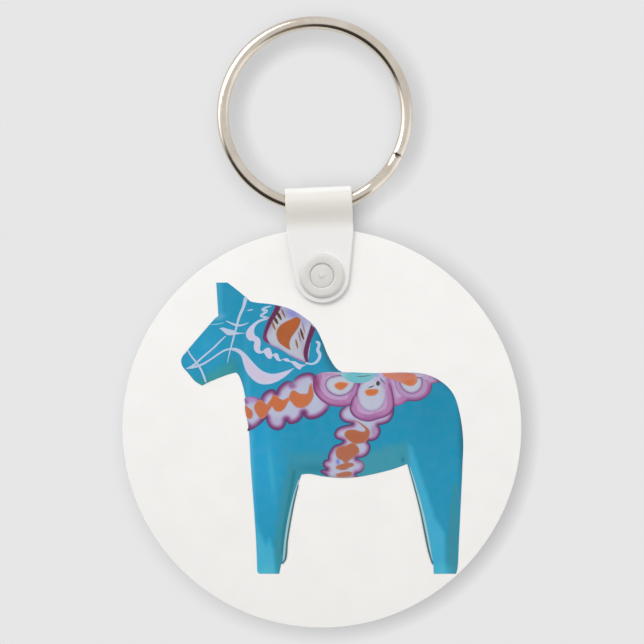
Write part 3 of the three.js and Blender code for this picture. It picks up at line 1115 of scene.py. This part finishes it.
def print_bridle(finish):
    """White brush lines: the bridle and reins, the eye, and the squiggle in front of the mane."""
    line = rimmed((0, (186, 204, 228)), (0.16, LINE_WHITE), (0.6, (207, 197, 222)))
    cheek = stroke(
        (-10.9, 18.6, 0.55), (-11.2, 17.4, 0.42), (-11.8, 16, 0.36), (-12.3, 14.2, 0.28),
        (-13.3, 10.4, 0.15), (-13.5, 9.4, 0.08),
    )
    brow = stroke((-13.7, 15.35, 0.12), (-12.2, 14.75, 0.32), (-11.5, 14.75, 0.24), (-10.5, 15.1, 0.08))
    eye = outline(
        [(-14.2, 14.42), (-13.4, 14.2), (-12.6, 14), (-12.2, 13.75), (-10.8, 13.62)],
        [(-12.2, 13.42), (-12.9, 13.3), (-13.5, 13.35), (-14, 13.75), (-14.65, 14.3)],
        step=FINE_STEP,
    )
    upper_rein = stroke(
        (-13.8, 13.15, 0.15), (-14.6, 12.4, 0.22), (-15.6, 11.4, 0.25), (-16.8, 10.4, 0.25),
        (-18.6, 8.85, 0.3), (-19.3, 8.55, 0.2),
    )
    lower_rein = stroke(
        (-18.9, 8.6, 0.2), (-17.9, 8.85, 0.32), (-17, 9.2, 0.28), (-16, 9.8, 0.24), (-14, 11.1, 0.26),
        (-13, 11.35, 0.3), (-12.2, 11.3, 0.4),
    )
    crescent = outline(
        [(-12, 11.4), (-11.2, 10.9), (-8.9, 8.5), (-8, 8), (-7, 7.8), (-5, 8.25), (-3.9, 8.68)],
        [(-5, 7.6), (-6, 6.9), (-7, 6.45), (-8, 6.28), (-9, 6.42), (-10, 7.1), (-10.8, 8.1), (-11.2, 9.2),
         (-11.5, 10.2), (-12, 10.8), (-13, 11.2)],
        [(-13, 11.5)],
    )
    noseband = stroke(
        (-19.15, 11.15, 0.2), (-18.8, 10.5, 0.22), (-17.8, 9.2, 0.26), (-17.3, 8.4, 0.28),
        (-16.9, 7.5, 0.3), (-16.6, 6.65, 0.25),
    )
    dash = stroke((-10.6, 16.85, 0.16), (-9.95, 16.98, 0.18))
    zigzag = stroke(
        (-7.3, 17.45, 0.12), (-8, 17.3, 0.26), (-8.5, 16.95, 0.34), (-7.85, 16.8, 0.34), (-8.35, 16.4, 0.3),
        (-8.75, 16.1, 0.3), (-7.6, 15.8, 0.24),
    )
    squiggle = outline(
        [(-8.6, 15.65), (-9.3, 15.35), (-10.5, 14.3), (-10.85, 13.6), (-10.75, 13), (-10.35, 12.55),
         (-9.85, 12.5), (-9.65, 12.3), (-9.75, 11.8), (-9.65, 11.2), (-9.2, 10.75), (-8.7, 10.7),
         (-8.3, 10.8), (-8.1, 10.5), (-7.8, 10.1), (-7.4, 9.92), (-7.15, 10.1), (-7, 10.4), (-6.4, 9.7),
         (-5.95, 9.6), (-5.6, 9.8), (-5.2, 9.6), (-4.4, 9.4), (-4, 9), (-3.5, 8.55), (-3.1, 8.4),
         (-2.9, 8.7), (-2.2, 9.1)],
        [(-3, 9.15), (-3.9, 9.6), (-4.5, 9.65), (-4.9, 10), (-5.4, 9.98), (-5.9, 9.8), (-6.1, 10.1),
         (-6.3, 10.65), (-6.75, 10.75), (-7, 10.55), (-7.4, 11.4), (-7.7, 11.55), (-8.1, 11.4),
         (-8.35, 11.15), (-8.7, 11.05), (-8.85, 11.4), (-8.75, 12), (-8.85, 12.7), (-9.2, 13.1),
         (-9.5, 13.25), (-9.7, 13.8), (-9.6, 14.4), (-9.2, 14.95), (-8.6, 15.3), (-7.7, 15.6)],
        [(-7.7, 15.85)],
        step=FINE_STEP,
    )
    hook = stroke(
        (-2.3, 9.35, 0.22), (-1.5, 9.2, 0.28), (-0.9, 9.4, 0.36), (-0.42, 9.95, 0.42), (-0.3, 10.6, 0.46),
        (-0.6, 11.2, 0.46), (-0.45, 11.7, 0.42), (-0.42, 12.2, 0.42), (-0.75, 12.35, 0.36),
    )
    shapes = [shape(crescent, 1, line), shape(squiggle, 1, line)]
    shapes += strokes(1, line, cheek, zigzag, hook, dash)
    shapes += strokes(2, line, brow, upper_rein)
    shapes += strokes(3, line, eye, lower_rein)
    shapes += strokes(4, line, noseband)
    shapes += strokes(1, plain(LINE_CYAN), stroke((-15.9, 14.85, 0.1), (-15, 14.9, 0.12), (-14, 15.1, 0.08)))
    return ink_piece("print_bridle", shapes, finish)


# ---------------------------------------------------------------- artwork: mane

PLUM = (98, 48, 84)
LEAF_ORANGE = (172, 98, 56)


def print_mane(finish):
    """The mane panel: a pale ground between two plum strokes, with an orange leaf and short dashes."""
    panel = outline(
        [(-4.6, 17.1), (-2.7, 16), (-1.1, 14.6)],
        [(-1.6, 12.2), (-2, 9.55)],
        [(-2.4, 9.4), (-4.3, 10.2), (-5.3, 10.9), (-7.3, 11.85), (-8, 12.4), (-8.4, 13)],
        [(-8.3, 13.6), (-7.5, 15.6), (-6.5, 17.6)],
    )
    lower_edge = curve([(-2.4, 9.4), (-4.3, 10.2), (-6.3, 11.4), (-7.3, 11.85), (-8.4, 13)])
    ground = touched(
        rimmed((0, (130, 90, 140)), (0.2, (176, 176, 208)), (0.5, (188, 192, 206))),
        (-4.2, 16.4, 1.5, 0.75, -25, (140, 144, 208), 1.0),
        (-2.6, 15.3, 0.8, 0.6, -45, (165, 163, 208), 0.8),
        (-4.9, 12.2, 0.5, 2.2, 0, (180, 196, 214), 0.5),
        (-2.7, 11.5, 0.35, 2.2, 8, (172, 160, 186), 0.7),
        (-7.4, 14.3, 0.3, 1.4, -20, (160, 140, 176), 0.5),
    )
    left = outline(
        [(-7.1, 16.5), (-7.7, 15.5), (-8.45, 12.8), (-8, 12.3)],
        [(-7.4, 12.1)],
        [(-7.8, 12.8), (-7.9, 13.3), (-7.1, 15.2), (-6.1, 16.8), (-5.8, 17.42)],
        [(-6.65, 17.65)],
    )
    right = outline(
        [(-2.6, 11.2), (-2.6, 10.3), (-2.3, 9.5)],
        [(-1.9, 9.5)],
        [(-2, 10.2), (-1.7, 12), (-0.9, 14.2)],
        [(-1.55, 14.9)],
    )
    leaf = loop([
        (-3.05, 15.6), (-3.6, 15.95), (-4.4, 15.6), (-5.3, 15.2), (-6, 14.7), (-6.45, 14), (-6.5, 13.2),
        (-6.2, 12.4), (-5.6, 11.8), (-4.45, 11.2), (-4.6, 11.7), (-4.6, 12.3), (-4.4, 12.9), (-3.5, 14.2),
        (-3.15, 14.9),
    ])
    leaf_paint = touched(
        rimmed((0, (176, 120, 96)), (0.15, LEAF_ORANGE)),
        (-5.6, 12.6, 0.7, 0.9, 0, (178, 96, 60), 0.7),
        (-4.3, 15, 1.2, 0.6, 30, (188, 98, 50), 0.7),
    )
    plum_paint = rimmed((0, (128, 76, 112)), (0.15, PLUM))
    shapes = [
        shape(panel, 1, ground, rim=[lower_edge]),
        shape(left, 2, touched(plum_paint, (-8.1, 12.8, 0.5, 0.5, 0, (124, 66, 112), 0.9))),
        shape(right, 2, touched(plum_paint, (-2.2, 10, 0.4, 0.8, 0, (112, 52, 96), 0.7))),
        shape(leaf, 2, leaf_paint),
    ]
    ochre = plain((150, 112, 78))
    brown = plain((98, 66, 42))
    shapes += strokes(
        3, ochre,
        stroke((-7.05, 15.15, 0.2), (-6.9, 14.65, 0.34), (-6.68, 14.1, 0.16)),
        stroke((-3.72, 12.7, 0.14), (-3.6, 12.1, 0.3), (-3.45, 11.45, 0.12)),
        stroke((-5.78, 17.05, 0.16), (-5.55, 16.5, 0.3), (-5.25, 15.85, 0.12)),
    )
    shapes += strokes(
        3, brown,
        stroke((-6.8, 15.9, 0.2), (-6.58, 15.45, 0.42), (-6.3, 14.95, 0.2)),
        stroke((-6.45, 16.7, 0.2), (-6.15, 16.15, 0.42), (-5.82, 15.55, 0.18)),
        stroke((-3.08, 14.25, 0.14), (-2.86, 13.55, 0.32), (-2.6, 12.75, 0.14)),
    )
    shapes += strokes(
        3, plain((162, 132, 152)),
        stroke((-3.32, 13.8, 0.12), (-3.2, 13.15, 0.28), (-3.02, 12.45, 0.12)),
        stroke((-2.78, 15.1, 0.08), (-2.62, 14.4, 0.2), (-2.4, 13.6, 0.08)),
    )
    return ink_piece("print_mane", shapes, finish)


# ---------------------------------------------------------------- artwork: breast band, girth, saddle

NAVY_PLUM = (78, 58, 96)
MAGENTA = (134, 76, 126)
LAVENDER = (176, 148, 194)
PALE = (185, 190, 214)
ORANGE = (198, 114, 76)
GIRTH_ORANGE = (176, 106, 80)


def arches(points):
    """One line of scallops: notch, apex, notch and so on, with a round arch over each apex."""
    line = []
    for start, apex, end in zip(points[0::2], points[1::2], points[2::2]):
        start, apex, end = (np.array(p, float) for p in (start, apex, end))
        middle = (start + end) / 2
        turn = np.linspace(0, math.pi, 15)[:-1, None]
        line.append(middle + (start - middle) * np.cos(turn) + (apex - middle) * np.sin(turn))
    line.append(np.array([points[-1]], float))
    return np.vstack(line)


def print_breast_band(finish):
    """The scalloped band across the chest, with an orange ribbon through it."""
    top = arches([(-11.05, 4.05), (-10.2, 4.55), (-8.75, 4.15), (-7.7, 5.5), (-6.55, 5.15), (-5.3, 6.65),
                  (-4.25, 6.35), (-2.6, 7.9), (-0.9, 7.35)])
    bottom = arches([(-10.5, 0.1), (-9.9, -0.15), (-8.0, 1.45), (-6.5, -0.3), (-5.05, 1.15), (-3.8, 0.7),
                     (-2.6, 2.15), (-0.9, 1.35), (1.1, 3.2)])
    band = anticlockwise(np.vstack([top, bottom[::-1]]))
    rims = rimmed((0, NAVY_PLUM), (0.15, (116, 62, 112)), (0.4, MAGENTA), (0.7, LAVENDER), (0.95, PALE))
    band_paint = touched(
        rims,
        (-9.6, 2.4, 0.5, 1.6, 0, PALE, 0.6),
        (-10.2, 4.2, 1.3, 0.45, -8, (184, 150, 202), 0.95),
        (-3.4, 6.6, 1.4, 0.5, 20, (184, 178, 206), 0.7),
        (-6.6, 1.0, 0.9, 0.6, 0, (164, 150, 190), 0.4),
        (-0.4, 4.3, 0.9, 1.0, -30, (184, 196, 220), 0.8),
        (0.2, 3.6, 0.9, 0.5, -30, (190, 170, 206), 0.6),
    )
    ribbon = touched(
        rimmed((0, (196, 134, 118)), (0.16, ORANGE)),
        (-6.3, 3.5, 1.2, 0.9, 0, (202, 108, 58), 0.5),
        (-2.6, 4.3, 1.4, 0.8, 0, (202, 118, 76), 0.5),
    )
    knots = [
        loop([
            (-10.95, 3.3), (-10.4, 2.9), (-9.95, 2.5), (-9.85, 2), (-10, 1.5), (-10.4, 1.3), (-10.72, 1.5),
        ]),
        loop([
            (-8.9, 4.1), (-9.5, 3.6), (-9.7, 2.9), (-8.9, 1.5), (-8.4, 1.4), (-7.5, 2.6), (-7.2, 3.2),
            (-7.9, 3.4), (-8.4, 3.9),
        ]),
        loop([
            (-7.9, 3.3), (-7.4, 4), (-7, 4.7), (-6.7, 4.8), (-5.9, 4.2), (-5.4, 4.1), (-5, 4.4),
            (-4.6, 4.1), (-4.9, 3.6), (-5.2, 3), (-5.7, 2.5), (-6.3, 2.35), (-6.8, 2.6), (-7.1, 3.1),
        ]),
        loop([
            (-4.8, 4.2), (-4.6, 4.9), (-4.3, 5.4), (-3.8, 5.4), (-3.2, 5), (-2.6, 4.95), (-2.1, 5),
            (-1.75, 6.2), (-1.5, 6.5), (-1.4, 6), (-1.2, 4.6), (-2, 3.3), (-2.8, 2.95), (-3.5, 2.95),
            (-4, 3.3), (-4.4, 3.8),
        ]),
    ]
    shapes = [shape(band, 1, band_paint, rim=[top, bottom])]
    shapes += [shape(knot, 2 + i % 2, ribbon) for i, knot in enumerate(knots)]
    return ink_piece("print_breast_band", shapes, finish)


def print_girth(finish):
    """The girth: a scalloped strip down the barrel with an orange ribbon."""
    left = chain(
        [(3.3, 3.15), (2.75, 2.75), (2.45, 2), (2.7, 1.3), (3.3, 0.85), (4.35, 0.65)],
        [(2.8, 0.3), (2.1, -0.1), (1.75, -0.8), (1.95, -1.4), (3.05, -1.85)],
        [(2.5, -2.2), (1.7, -2.5), (0.9, -3.8), (0.85, -4.4)],
        [(0.4, -4.55), (0.15, -4.9), (0.22, -5.5), (0.7, -5.85)],
        [(0, -5.9), (-0.25, -6.2), (0.6, -6.78)],
        step=FINE_STEP,
    )
    right = chain(
        [(5.2, -6.9), (4.9, -6.6), (5.6, -6.3), (6, -5.8), (6.1, -5.2), (5.8, -4.7), (5, -4.3)],
        [(5.8, -4.2), (6.5, -3.8), (6.9, -3.1), (6.95, -2.5), (6.6, -1.85)],
        [(7.3, -1.8), (8, -1.4), (8.4, -0.6), (8.35, 0), (8.1, 0.42)],
        [(8.9, 0.6), (9.7, 1), (10.2, 1.8), (10.35, 2.7), (10.3, 3.3)],
        step=FINE_STEP,
    )
    bottom = curve([(0.6, -6.78), (1.5, -6.95), (3, -7.1), (4.3, -7.05), (5.2, -6.9)])
    strip = anticlockwise(np.vstack([left, bottom[1:-1], right, [(6.5, 3.4)]]))
    rims = rimmed((0, (72, 54, 96)), (0.14, (108, 64, 112)), (0.34, (152, 100, 146)), (0.62, (182, 164, 200)),
                  (0.88, (182, 188, 212)))
    strip_paint = touched(
        rims,
        (2.3, -4.8, 0.25, 0.4, 0, (104, 112, 200), 0.9),
        (5.7, -5.2, 0.6, 0.9, 0, (176, 170, 196), 0.5),
        (7.4, -0.4, 0.4, 0.8, 0, (150, 90, 140), 0.5),
        (3.7, 2.4, 0.5, 0.7, 0, (184, 192, 218), 0.7),
        (3.0, -6.9, 2.2, 0.25, 0, (150, 130, 140), 0.6),
    )
    ribbon = touched(
        rimmed((0, (182, 132, 112)), (0.15, GIRTH_ORANGE)),
        (4.6, -1.4, 1.4, 0.7, 0, (176, 100, 62), 0.6),
        (3.4, -5.6, 1.5, 1.6, 0, (174, 116, 96), 0.5),
    )
    swirl = loop([
        (4.5, 1.25), (5.3, 0.95), (6.2, 0.35), (6.7, -0.1), (6.88, -0.7), (6.4, -1.8), (5.9, -2.1),
        (5.2, -2.2), (4.8, -2.25), (3.6, -1.5), (3.2, -0.9), (3.4, -0.4), (4.2, -0.15), (5, -0.25),
        (5.6, -0.45), (6.1, -0.42), (6.2, -0.1), (5.8, 0.3), (5.2, 0.8),
    ])
    heart = loop([
        (4.2, -2.1), (4.8, -2.25), (5.3, -2.9), (5.3, -3.5), (4.7, -4), (4, -4.5), (3.4, -5), (2.9, -4.6),
        (2.2, -4.2), (1.95, -3.5), (2.1, -2.9), (2.8, -2.5), (3.6, -2.4),
    ])
    low = loop([
        (2, -5.45), (2.8, -5.1), (3.6, -4.9), (4.5, -5), (4.6, -5.3), (4, -5.6), (3.3, -5.95), (2.4, -5.9),
        (2, -5.7),
    ])
    lowest = loop([(2, -6.6), (2.8, -6.3), (3.8, -6.15), (4.3, -6.3), (4.2, -6.7), (3.2, -6.98), (2.2, -6.9)])
    shapes = [shape(strip, 1, strip_paint, rim=[left, right], grid=GIRTH_GRID)]
    shapes += [shape(knot, 3 + i % 2, ribbon) for i, knot in enumerate((swirl, heart, low, lowest))]
    return ink_piece("print_girth", shapes, finish)


def print_saddle(finish):
    """The saddle: three ringed petals, a cyan half moon and orange centres."""
    front = loop([
        (2.6, 8.02), (0.5, 8.02), (-0.5, 7.8), (-1.1, 7.3), (-1.3, 6.4), (-1.2, 5.5), (-0.7, 4.6), (0, 3.9),
        (0.9, 3.35), (2, 3.1), (3.2, 3.1), (4.2, 3.4), (4.7, 4.2), (5.15, 5), (5.35, 5.9), (5.2, 7.4),
        (4.4, 7.92),
    ])
    middle = loop([
        (5.2, 6.6), (5.3, 5.4), (4.9, 4.9), (4.3, 4.2), (4.1, 3.4), (3.95, 2.8), (4.3, 2), (5, 1.4),
        (6, 1.05), (7, 1), (8, 1.3), (9, 1.6), (9.8, 2.1), (10.3, 3), (10.35, 4), (9.9, 6), (9.4, 7),
        (8.6, 7.8), (7.4, 7.9), (6, 7.6),
    ])
    rear = outline(
        [(11.2, 3.35), (12.3, 3.92)],
        [(13.5, 3.9), (14.6, 4.3), (15.4, 5), (15.72, 5.8), (15.75, 6.4)],
        [(17.1, 6.62)],
        [(16.5, 7), (15.5, 7.48), (14.5, 7.76), (12, 7.97), (8.3, 7.9)],
        [(9.3, 5.5), (10.2, 3.1)],
    )
    wide_rim = rimmed(
        (0, (100, 60, 108)), (0.2, (146, 86, 138)), (0.5, (184, 136, 180)), (0.85, (172, 116, 168)),
        (1.15, (196, 166, 204)), (1.5, (184, 148, 194)), (1.9, (198, 186, 214)),
    )
    front_paint = touched(
        wide_rim,
        (-0.9, 6.6, 0.6, 1.3, 10, (136, 62, 108), 0.9),
        (1.4, 7.7, 1.3, 0.3, 0, (176, 128, 166), 0.8),
        (2.6, 3.4, 1.4, 0.35, 0, (168, 94, 152), 0.6),
        (3.9, 7.4, 1.2, 0.6, 0, (188, 200, 220), 0.9),
    )
    middle_paint = touched(
        wide_rim,
        (7, 1.5, 2.2, 0.35, 5, (156, 92, 154), 0.7),
        (5.1, 3.6, 0.35, 1.4, 18, (190, 150, 196), 0.6),
        (9.5, 4.6, 0.3, 1.6, -6, (178, 126, 172), 0.6),
        (9.0, 5, 0.3, 1.6, -6, (190, 178, 208), 0.6),
        (7.9, 7.6, 0.5, 0.4, 0, (146, 156, 208), 0.9),
        (6.6, 7.2, 1.2, 0.6, 0, (186, 192, 216), 0.9),
        (8.6, 6.9, 0.4, 0.8, 20, (188, 194, 216), 0.7),
    )
    rear_paint = touched(
        wide_rim,
        (11.2, 3.6, 0.9, 0.3, 20, (186, 110, 172), 0.9),
        (10.6, 5, 0.35, 1.0, 10, (192, 170, 206), 0.8),
        (15.2, 5.7, 0.35, 1.0, -10, (170, 90, 146), 0.7),
        (15.3, 7, 1.2, 0.5, -15, (184, 166, 196), 0.8),
        (12.4, 7.9, 2.5, 0.3, 0, (180, 150, 160), 0.7),
    )
    oval_rim = rimmed(
        (0, (128, 92, 132)), (0.14, (150, 124, 166)), (0.32, (188, 190, 210)), (0.6, (190, 196, 211)),
    )
    soft_rim = touched(
        rimmed((0, (158, 130, 172)), (0.12, (178, 164, 196)), (0.34, (190, 194, 213))),
        (7.0, 7.0, 1.2, 0.5, 0, (190, 194, 216), 0.9),
        (8.9, 5.6, 0.5, 1.5, 0, (186, 176, 206), 0.7),
    )
    front_oval = loop([
        (1.9, 7.55), (0.9, 7.2), (0.42, 6.3), (0.8, 5.4), (1.5, 4.85), (2.3, 4.6), (3.4, 4.75), (4.2, 5.3),
        (4.75, 6.2), (4.9, 7.2), (3.6, 7.7),
    ])
    middle_oval = oval(7.1, 4.75, 2.05, 2.35)
    rear_outer = outline(
        [(10.55, 5.9), (11.1, 5.0), (11.9, 4.45), (13, 4.3), (14.1, 4.55), (14.9, 5.2), (15.2, 6),
         (15.1, 6.9)],
        [(13, 7.2), (10.35, 6.9)],
    )
    rear_oval = outline(
        [(11.3, 5.9), (11.9, 5.25), (12.8, 4.95), (13.7, 5.2), (14.25, 5.8), (14.45, 6.6), (14.3, 7.3)],
        [(12.5, 7.4), (10.95, 6.75)],
    )
    ring_rim = rimmed((0, (150, 110, 152)), (0.16, (184, 150, 194)), (0.5, (180, 146, 188)))
    moon = outline(
        [(7.8, 7.9)],
        [(7.3, 7.25), (6.7, 6.8), (5.8, 6.52), (4.8, 6.5), (3.9, 6.8), (3.1, 7.3), (2.5, 7.9)],
    )
    moon_paint = touched(
        plain((112, 190, 202)),
        (6.6, 7.6, 1.0, 0.4, 0, (140, 190, 196), 0.8),
        (3.0, 7.6, 0.5, 0.4, 0, (150, 206, 212), 0.8),
    )
    centre_paint = touched(
        rimmed((0, (206, 156, 136)), (0.16, (205, 117, 72))),
        (2.7, 6.2, 0.7, 0.3, 0, (208, 112, 62), 0.6),
    )
    front_centre = loop([(1.75, 6.15), (2.3, 6.6), (3, 6.65), (3.8, 6.4), (2.9, 5.5), (2.2, 5.6)])
    middle_centre = loop([
        (6.1, 5.3), (6.5, 5.6), (7.2, 5.65), (8, 5.6), (8.15, 5.3), (7.8, 4.85), (7.1, 4.6), (6.4, 4.75),
    ])
    saddle_leaf = outline(
        [(12, 7.97), (13.3, 7.72), (13.65, 7.2), (13.6, 6.6), (13.1, 6.12), (12.5, 6.05), (10.8, 6.75),
         (9, 7.4), (8.6, 7.92)],
    )
    leaf_paint = touched(
        rimmed((0, (206, 146, 140)), (0.16, (205, 130, 112))),
        (12.6, 6.6, 0.9, 0.5, 0, (204, 116, 68), 0.9),
        (12.6, 7.7, 1.2, 0.3, 0, (190, 116, 100), 0.6),
    )
    shapes = [
        shape(front, 2, front_paint, rim=[edge_below(front, 7.6)]),
        shape(rear, 2, rear_paint, rim=[edge_below(rear, 7.2)]),
        shape(middle, 3, middle_paint, rim=[edge_below(middle, 6.4)]),
        shape(front_oval, 3, oval_rim),
        shape(rear_outer, 3, ring_rim),
        shape(middle_oval, 4, soft_rim),
        shape(rear_oval, 4, oval_rim),
        shape(moon, 5, moon_paint),
        shape(saddle_leaf, 5, leaf_paint),
        shape(front_centre, 5, centre_paint),
        shape(middle_centre, 5, centre_paint),
        shape(oval(8.02, 6.42, 0.26, 0.34, 20), 5, plain((74, 72, 56)), grid=None),
    ]
    shapes += strokes(6, plain((96, 122, 132)), stroke((5, 7.42, 0.06), (6, 7.45, 0.14), (7, 7.6, 0.06)))
    dusk = plain((104, 104, 120))
    shapes += strokes(5, dusk, stroke((6.7, 5.85, 0.1), (7.1, 5.95, 0.2), (7.5, 6.15, 0.06)))
    shapes += strokes(5, plain((84, 92, 140)), stroke((8.35, 7.2, 0.06), (8.6, 6.85, 0.18), (9, 6.4, 0.06)))
    return ink_piece("print_saddle", shapes, finish)


def edge_below(drawn, height):
    """The part of an outline below a height, for a rim that fades out where the coat's edge cuts it."""
    line = closed(drawn)
    low = line[:, 1] <= height
    start = next(i for i in range(len(line)) if low[i] and not low[i - 1])
    turned_line = np.roll(line[:-1], -start, axis=0)
    return turned_line[turned_line[:, 1] <= height]


# ---------------------------------------------------------------- assembly


def finish_piece(piece, body, slot, *nodes):
    if body:
        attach(piece, body)
    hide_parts(*nodes)


steel = nickel()
plastic = frosted_plastic()
snap_finish = snap_plastic()
coat_finish = white_gloss()
ink_finish = ink()

finish_piece(split_ring(steel), "ring", "nickel_steel", "split_ring")

strap_rear, strap_front = strap(plastic)
finish_piece(strap_rear, "strap", "strap_plastic", "strap_rear")
finish_piece(strap_front, None, "strap_plastic", "strap_front")
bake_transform(strap_front)
finish_piece(snap_stud(snap_finish), "strap", "snap_plastic", "snap_stud")
finish_piece(snap_socket(snap_finish), "front_leaf", "snap_plastic", "snap_socket")

core = tag_plate("board", core_low.y, core_high.y, TAG_RADIUS, EDGE_ROUNDING, board())
finish_piece(core, "disc", "board_core", "disc_core")
coat_radius = TAG_RADIUS - COAT_ROUNDING
front = tag_plate("gloss_front", coat_low.y, coat_high.y, coat_radius, COAT_ROUNDING, coat_finish)
finish_piece(front, "disc", "white_coat", "front_coat")
rear = tag_plate("gloss_back", back_low.y, back_high.y, coat_radius, COAT_ROUNDING, coat_finish)
finish_piece(rear, "disc", "white_coat", "back_coat")

print_body(ink_finish)
print_bridle(ink_finish)
print_mane(ink_finish)
print_breast_band(ink_finish)
print_girth(ink_finish)
print_saddle(ink_finish)
